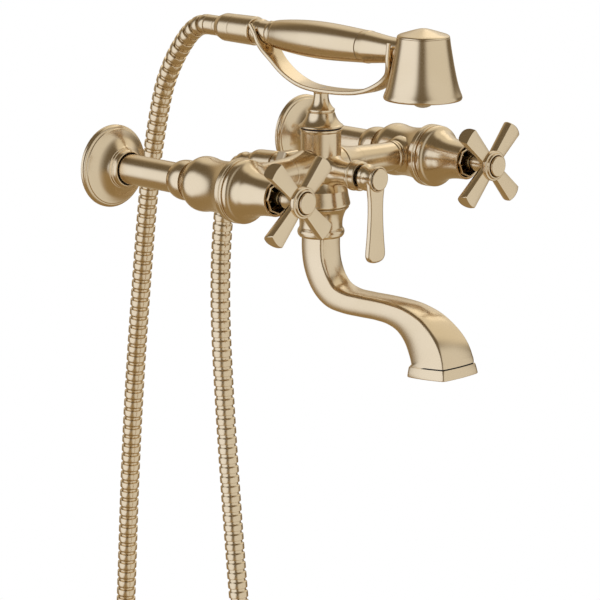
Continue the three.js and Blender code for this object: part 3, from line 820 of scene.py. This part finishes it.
# Distance from the wall, height, half depth in the plane of the bend and half width across it.
SPOUT_STATIONS = [
    (121.3, -51.4, 10.7, 10.7), (121.3, -60, 10.7, 10.7), (122.6, -69.8, 10.6, 10.7),
    (126.0, -78.9, 10.5, 10.6), (131.4, -86.8, 10.1, 10.5), (139.8, -93.0, 9.2, 10.5),
    (153, -96.0, 8.0, 10.5), (170, -96.2, 7.7, 10.5), (187, -95.8, 7.7, 10.7),
    (202, -96.4, 8.2, 11.2), (216, -99.2, 9.9, 12.2), (229, -105.8, 12.8, 13.7),
    (239.0, -115.0, 15.2, 15.4), (244.3, -122.6, 16.3, 16.5), (246.0, -128.1, 16.9, 17.2),
]
# The lip and the mouth as growth of both halves and distance past the last station.
LIP = [
    (0.0, 0.0), (-1.0, 0.1), (-1.0, 0.8), (0.55, 0.9), (0.8, 1.5), (1.35, 4.8), (1.75, 7.8),
    (1.6, 8.3), (1.2, 8.6),
]
MOUTH = [(-1.2, 8.6), (-1.7, 8.2), (-1.9, -6.0)]
SPOUT_CORNER = 2.7
SPOUT_BOW = 1.5
SPOUT_TILT = math.radians(4.5)


def square_ring(depth, width):
    """A square with bowed sides and soft corners, as across and normal offsets."""
    sides = []
    for quarter in range(4):
        out, half = (width, depth) if quarter % 2 else (depth, width)
        along = np.linspace(SPOUT_CORNER - half, half - SPOUT_CORNER, 15)
        side = np.stack([along, out + SPOUT_BOW * (1 - (along / half) ** 2)], -1)
        turn = quarter * math.pi / 2
        cos, sin = math.cos(turn), math.sin(turn)
        sides.append(side @ np.array([[cos, -sin], [sin, cos]]))
    ring = []
    for side, after in zip(sides, sides[1:] + sides[:1]):
        leave, arrive = side[-1] - side[-2], after[0] - after[1]
        reach = np.linalg.solve(np.stack([leave, -arrive], -1), after[0] - side[-1])[0]
        ring += list(side) + corner_arc(side[-1], side[-1] + leave * reach, after[0], 9)
    return np.array(ring)


def spout_section(u, z, depth, width, tu, tz):
    """The square ring at a point of the centre line, across the direction given."""
    ring = square_ring(depth, width)
    across, normal = ring[:, 0], ring[:, 1]
    return np.stack([across, -(u - tz * normal), z + tu * normal], -1)


def spout_end(profile):
    """Sections past the last station, for each growth and distance."""
    u, z, depth, width = SPOUT_STATIONS[-1]
    tu, tz = math.sin(SPOUT_TILT), -math.cos(SPOUT_TILT)
    return [
        spout_section(u + tu * down, z + tz * down, depth + grow, width + grow, tu, tz)
        for grow, down in profile
    ]


def spout_painted_shadow():
    """Painted shadow: a black line that fills the groove above the spout's lip."""
    sections = spout_end([(-1.9, 0.12), (-0.35, 0.12), (-0.35, 0.78), (-1.9, 0.78)])
    size = len(sections[0])
    rings = [list(range(k * size, (k + 1) * size)) for k in range(len(sections))]
    return facing_out(mesh_of("groove", np.vstack(sections), skinned(rings, True)))


def spout():
    """The swept square tube with its open mouth, on its round spigot."""
    sections = [
        spout_section(*station, *ahead)
        for station, ahead in with_directions(spline(SPOUT_STATIONS, 1.6))
    ]
    tube = lofted(sections + spout_end(LIP + MOUTH))
    spigot = turned([
        (0, -53.6), (10.2, -53.6), (10.2, -24), (9, -24), (9, -21), (10.2, -21), (10.2, -12),
        (0, -12),
    ])
    return merged(tube, placed(spigot, upward(COLUMN)))


INSERT_HALF = 13.6
INSERT_TILT = 0.09
HOLE_RADIUS = 3.0
HOLE_SPACING = 8.0


def flow_straightener():
    """A square insert with a grid of round holes, a little inside the mouth."""
    half = INSERT_HALF
    plate = slab([(-half, -half), (half, -half), (half, half), (-half, half)], -2, 2, 0.01)
    holes = []
    for column in (-1, 0, 1):
        for row in (-1, 0, 1):
            hole = turned([(0, -6), (HOLE_RADIUS, -6), (HOLE_RADIUS, 6), (0, 6)], sides=40)
            spot = Matrix.Translation((column * HOLE_SPACING, 0, row * HOLE_SPACING))
            holes.append(placed(hole, spot @ Matrix.Rotation(math.pi / 2, 4, "X")))
    made = merged(plate, joined(holes), how="DIFFERENCE")
    at = Matrix.Translation(middle("flow_straightener"))
    return placed(made, at @ Matrix.Rotation(math.pi / 2 + INSERT_TILT, 4, "X"))


# ---------------------------------------------------------------- diverter

def diverter_collar():
    return turned([
        (7.2, 155.6), (10.9, 155.6), (11.5, 156.2), (11.5, 157.8), (10.8, 158.3), (10.8, 158.8),
        (11.1, 159.4), (11.1, 163.2), (10.4, 164.4), (8.6, 164.4), (8.6, 162.6), (7.2, 162.6),
    ])


def diverter_stem():
    return turned([
        (0, 132), (4, 132), (4, 165), (3.6, 166), (3.6, 176), (1.5, 176), (1.5, 170), (0, 170),
    ], sides=64)


LEVER_FRONT = 180.5
LEVER_THICKNESS = 5.3
LEVER_ROUND = 2.2  # radius of the blade's rims


def diverter_lever():
    """The hub, and the blade that hangs from it and widens to a round tip."""
    right = [
        (8.6, -3), (7.9, -9), (7.1, -15), (6.8, -23), (7.1, -33), (8.0, -45), (9.1, -55),
        (9.0, -58.4), (7.2, -61.4), (3.8, -62.9),
    ]
    left = [(-x, z) for x, z in reversed(right)]
    outline = [(-8.6, 0), (8.6, 0), right + [(0, -63.3)] + left]
    blade = slab(outline, -LEVER_FRONT, LEVER_THICKNESS - LEVER_FRONT, LEVER_ROUND, 7)
    hub = turned([
        (0, 167.4), (8.8, 167.4), (9.8, 167.8), (10, 168.6), (10, 170.4), (9.4, 171.4),
        [(8.7, 173), (8.7, 176)], (9.2, 179.4), (9.6, 180.2), (9.6, 181.4), (9.0, 182),
        (8.4, 181.6), (8.4, 179), (0, 179),
    ])
    bore = turned([(0, 165), (3.9, 165), (3.9, 180), (0, 180)])
    recess = turned([(0, 179), (8.4, 179), (8.4, 184), (0, 184)])
    for mesh in (hub, bore, recess):
        placed(mesh, outward(0, 0))
    return merged(merged(hub, blade), bore, recess, how="DIFFERENCE")


def lever_cap():
    return turned([(0, 181), (7.4, 181), (8, 181.6), (8.1, 182.5), (7.6, 183), (0, 183.05)])


# ---------------------------------------------------------------- outlet and handset

def hose_outlet():
    return turned([
        (6.2, 29.3), (10.8, 29.3), (12.4, 29.8), (13.1, 31.2), (13.1, 38.4), (12.4, 39.8),
        (10.8, 40.4), (9.4, 40.6), (9.4, 46), (8, 46.4), (8, 55), (5, 55), (5, 38), (6.2, 37),
    ], facets=6, facets_from=10.9)


def outlet_nut():
    return turned([
        (8.3, 46.8), (9.8, 46.8), (10.3, 47.6), (10.4, 64), [(10.1, 67.2), (9.2, 69.8)], (8.4, 71),
        (6.9, 71), (6.9, 58.6), (8.3, 58.6),
    ])


def outlet_tail():
    return turned([
        (4.4, 57.4), (8, 57.4), (8, 58.3), (6.6, 58.3), (6.6, 73.6), (7.2, 74), (7.2, 76.4),
        (4.4, 76.4),
    ])


def handset_ferrule():
    return turned([
        (4.6, 0.2), (7.4, 0.2), (7.7, 0.8), (7.7, 9.6), (7.45, 9.9), (7.45, 10.3), (7.8, 10.6),
        (7.8, 12.8), (7, 13.4), (7, 24), (8.4, 24.4), (8.4, 26), (4.6, 26),
    ])


def handset_nut():
    return turned([
        (7.3, 13.8), (8.6, 13.8), (10.5, 19.0), (10.7, 20.2), (10.8, 29.8), (10.5, 30.1),
        (10.5, 30.6), (10.85, 30.9), (11.1, 51.4), (10.7, 52.3), (9.6, 52.5), (9, 52.5),
        (9, 23.7), (7.3, 23.7),
    ])


def handset_tail():
    return turned([
        (5, 27), (8.6, 27), (8.6, 52.9), (9.5, 53.4), (9.8, 56.4), (9.7, 58.8), (8.9, 60.2),
        (8.75, 68.6), (9.6, 70.2), (9.75, 72.0), (9.1, 73.2), (6.5, 73.2), (6.5, 84), (5, 84),
    ])


def handset_grip():
    return turned([
        (6.8, 73.6), (9.5, 73.6), (10.4, 74.3), (10.5, 75.6), (10.8, 76.4),
        [(11.9, 85), (13.0, 97), (13.8, 112), (13.9, 126), (13.4, 142), (12.6, 157)],
        (12.1, 166), (6.8, 166),
    ])


def handset_neck():
    """The tapered neck, cut off just short of the bell's skin."""
    neck = turned([
        (0, 156), (6.5, 156), (6.5, 166.4), (11.7, 166.4), (12.1, 166.8), (12.15, 171.4),
        (11.75, 172.2), [(11.3, 176.5), (10.5, 183.5), (9.8, 190.5), (9.4, 198)], (9.3, 208),
        (0, 208),
    ])
    bell = turned([
        (0, 111), (19.6, 111), (19.8, 109), [(21.0, 99), (22.9, 88), (25.3, 77.4)], (28, 68),
        (0, 68),
    ])
    placed(neck, outward(0, HANDSET))
    placed(bell, upward(HEAD))
    return merged(neck, bell, how="DIFFERENCE")


def head_bell():
    return turned([
        (17.6, 109.8), (19.2, 109.8),
        [(19.4, 108.6), (19.85, 105), (21.0, 98), (22.8, 88), (25.1, 77.4), (26.9, 71.4)],
        (28.3, 67.8), (28.7, 66.2), (28.1, 64.8), (26.6, 64.6), (25.9, 65.4), (25.9, 69),
        (22.6, 79), (20.2, 90), (18.2, 102),
    ], edge=0.5)


def head_cap():
    return turned([
        (0, 109.85), (19.2, 109.85),
        [(19.0, 110.6), (18.0, 111.4), (13.5, 112.9), (8, 114.6), (3, 115.9)], (0, 116.3),
    ], edge=0.06)


# Radius of each ring of jets, and how many it has.
JET_RINGS = [(13.2, 16), (16.4, 20), (19.6, 26)]


def spray_face():
    """The plate in the bell's mouth, with its low dome and three rings of jets."""
    plate = turned([
        (0, 58.6), [(3, 58.9), (5.6, 60.0), (7.6, 62.0), (9.2, 65.2)], (10.6, 67.0), (22, 67.4),
        (25.4, 67.8), (25.6, 68.2), (25, 69.8), (0, 69.8),
    ])
    jets = []
    for radius, count in JET_RINGS:
        for k in range(count):
            angle = 2 * math.pi * k / count
            spot = (radius * math.cos(angle), radius * math.sin(angle), 0)
            jet = turned([(0, 66.3), (0.45, 66.3), (0.62, 68.4), (0, 68.4)], sides=12, edge=0.08)
            jets.append(placed(jet, Matrix.Translation(spot)))
    return joined([plate, *jets])


# ---------------------------------------------------------------- assembly

valve("hot", HOT, -1)
valve("cold", COLD, 1)
# Painted shade: dark rings put in the gland recesses, where there is only shade.
for prefix, x in (("hot", HOT), ("cold", COLD)):
    ring = turned([(4.1, 166), (9.9, 166), (9.9, 171), (4.1, 171)], sides=64)
    painted_shade_ring(prefix + "_gland_painted_shade", placed(ring, outward(x, 0)), SHADED)
# Painted shade: a black ring in the gap between the diverter's collar and its lever, where there
# is only shade.
ring = turned([(4.2, 165), (7.6, 165), (7.6, 167.2), (4.2, 167.2)], sides=64)
painted_shade_ring("diverter_painted_shade", placed(ring, outward(0, 0)))
# Painted shade: a black ring in the groove between the column and the cradle post, where there is
# only shade.
ring = turned([(14.2, 31.45), (15.5, 31.45), (15.5, 32.25), (14.2, 32.25)], edge=0.1)
painted_shade_ring("column_painted_shade", placed(ring, upward(COLUMN)))
piece("centre_body", centre_body())
piece("hot_bridge_tube", placed(bridge_tube(), sideways(-1)))
piece("cold_bridge_tube", placed(bridge_tube(), sideways(1)))
piece("cradle_post", placed(cradle_post(), upward(COLUMN)))
piece("spout_collar", placed(spout_collar(), upward(COLUMN)))
piece("cradle", cradle())
piece("spout", spout())
# Painted shadow: a black band in the groove above the spout's lip.
painted_shade_ring("spout_painted_shadow", spout_painted_shadow(), body="spout")
piece("flow_straightener", flow_straightener())
for name, mesh in {
    "diverter_collar": placed(diverter_collar(), outward(0, 0)),
    "diverter_stem": placed(diverter_stem(), outward(0, 0)),
    "diverter_lever": diverter_lever(),
    "lever_cap": placed(lever_cap(), outward(0, 0)),
    "hose_outlet": placed(hose_outlet(), backward()),
    "outlet_nut": placed(outlet_nut(), backward()),
    "outlet_tail": placed(outlet_tail(), backward()),
    "handset_ferrule": placed(handset_ferrule(), outward(0, HANDSET)),
    "handset_nut": placed(handset_nut(), outward(0, HANDSET)),
    "handset_tail": placed(handset_tail(), outward(0, HANDSET)),
    "handset_grip": placed(handset_grip(), outward(0, HANDSET)),
    "handset_neck": handset_neck(),
    "head_bell": placed(head_bell(), upward(HEAD)),
    "head_cap": placed(head_cap(), upward(HEAD)),
    "spray_face": placed(spray_face(), upward(HEAD)),
}.items():
    piece(name, mesh)

# The inner pieces keep their CAD shape and get their finish here.
for node, made in frame["nodes"].items():
    if not made.hide_render:
        made.data.materials.clear()
        made.data.materials.append(FINISHES[SLOT_OF[node]])


# ---------------------------------------------------------------- studio

FLOOR_DROP = 0.06
FLOOR_RADIUS = 0.95


def make_floor():
    """A pale round floor under the object. The metal doesn't mirror it."""
    height = CAD_BOX[0].z - FLOOR_DROP
    angles = np.linspace(0, 2 * np.pi, 128, endpoint=False)
    across, along = FLOOR_RADIUS * np.cos(angles), FLOOR_RADIUS * np.sin(angles)
    rim = [(x, COLUMN * MM + y, height) for x, y in zip(across, along)]
    mesh = mesh_of("floor", rim, [list(range(len(rim)))])
    floor = bpy.data.objects.new("floor", mesh)
    bpy.context.scene.collection.objects.link(floor)
    material, tree, surface = shader("floor", Roughness=0.7)
    colour = tint(tree, noise(tree, 3, 2), (0.80, 0.79, 0.77), (0.83, 0.82, 0.80))
    tree.links.new(colour, surface.inputs["Base Color"])
    mesh.materials.append(material)
    floor.visible_glossy = False


def heading(azimuth, elevation):
    """Unit vector towards an azimuth from -Y, turning to +X, and an elevation."""
    a, e = math.radians(azimuth), math.radians(elevation)
    return Vector((math.sin(a) * math.cos(e), -math.cos(a) * math.cos(e), math.sin(e)))


def soft_light(azimuth, elevation, distance, width, height, radiance, gloss=True):
    """A rectangular studio light that faces the object. Its power gives the radiance asked for."""
    away = heading(azimuth, elevation)
    data = bpy.data.lights.new("soft_light", "AREA")
    data.shape = "RECTANGLE"
    data.size = width
    data.size_y = height
    data.energy = radiance * math.pi * width * height
    light = bpy.data.objects.new("soft_light", data)
    light.location = Vector((0, COLUMN, 0)) * MM + away * distance
    light.rotation_mode = "QUATERNION"
    light.rotation_quaternion = (-away).to_track_quat("-Z", "Y")
    light.visible_camera = False
    light.visible_glossy = gloss
    bpy.context.scene.collection.objects.link(light)


# Soft bright walls round the studio, as azimuth, elevation, half angle, softness and colour.
WALLS = [
    (150, 6, 36, 12, (0.50, 0.42, 0.30)),
    (105, 45, 38, 9, (0.88, 0.86, 0.82)),
    (14, -4, 52, 10, (0.83, 0.86, 0.93)),
    (-109, 4, 42, 8, (1.06, 1.16, 1.42)),
]
ROOM_LOW = (0.36, 0.27, 0.15)
ROOM_HIGH = (0.17, 0.14, 0.10)


def room_colour(tree, direction):
    """The dim room: warmer and lighter below, darker above."""
    split = tree.nodes.new("ShaderNodeSeparateXYZ")
    shift = tree.nodes.new("ShaderNodeMapRange")
    ramp = tree.nodes.new("ShaderNodeValToRGB")
    shift.inputs["From Min"].default_value = -1
    low, high = ramp.color_ramp.elements
    low.position, low.color = 0.30, (*ROOM_LOW, 1)
    high.position, high.color = 0.50, (*ROOM_HIGH, 1)
    tree.links.new(direction, split.inputs["Vector"])
    tree.links.new(split.outputs["Z"], shift.inputs["Value"])
    tree.links.new(shift.outputs["Result"], ramp.inputs["Fac"])
    return ramp.outputs["Color"]


def with_wall(tree, direction, behind, azimuth, elevation, half, soft, colour):
    """Lays a round wall with a soft edge over the colour behind it."""
    facing = tree.nodes.new("ShaderNodeVectorMath")
    facing.operation = "DOT_PRODUCT"
    facing.inputs[1].default_value = heading(azimuth, elevation)
    tree.links.new(direction, facing.inputs[0])
    edge = tree.nodes.new("ShaderNodeMapRange")
    edge.interpolation_type = "SMOOTHSTEP"
    edge.inputs["From Min"].default_value = math.cos(math.radians(half + soft))
    edge.inputs["From Max"].default_value = math.cos(math.radians(half - soft))
    tree.links.new(facing.outputs["Value"], edge.inputs["Value"])
    wall = tree.nodes.new("ShaderNodeMix")
    wall.data_type = "RGBA"
    sockets = {socket.identifier: socket for socket in [*wall.inputs, *wall.outputs]}
    sockets["B_Color"].default_value = (*colour, 1)
    tree.links.new(edge.outputs["Result"], sockets["Factor_Float"])
    tree.links.new(behind, sockets["A_Color"])
    return sockets["Result_Color"]


def make_world():
    """The studio that lights the metal, and plain white where the camera looks past it."""
    world = bpy.data.worlds.new("studio")
    world.use_nodes = True
    bpy.context.scene.world = world
    tree = world.node_tree
    tree.nodes.clear()
    direction = tree.nodes.new("ShaderNodeTexCoord").outputs["Generated"]
    colour = room_colour(tree, direction)
    for wall in WALLS:
        colour = with_wall(tree, direction, colour, *wall)
    room = tree.nodes.new("ShaderNodeBackground")
    white = tree.nodes.new("ShaderNodeBackground")
    path = tree.nodes.new("ShaderNodeLightPath")
    mix = tree.nodes.new("ShaderNodeMixShader")
    out = tree.nodes.new("ShaderNodeOutputWorld")
    white.inputs["Color"].default_value = (1, 1, 1, 1)
    tree.links.new(colour, room.inputs["Color"])
    tree.links.new(path.outputs["Is Camera Ray"], mix.inputs["Fac"])
    tree.links.new(room.outputs["Background"], mix.inputs[1])
    tree.links.new(white.outputs["Background"], mix.inputs[2])
    tree.links.new(mix.outputs["Shader"], out.inputs["Surface"])


make_floor()
make_world()
soft_light(azimuth=112, elevation=42, distance=2.6, width=1.2, height=1.0, radiance=0.5)
# This one lights the floor and the shadow, and isn't mirrored in the metal.
soft_light(
    azimuth=0, elevation=89, distance=2.5, width=3.0, height=3.0, radiance=2.6, gloss=False
)
bpy.context.scene.view_settings.view_transform = "Standard"
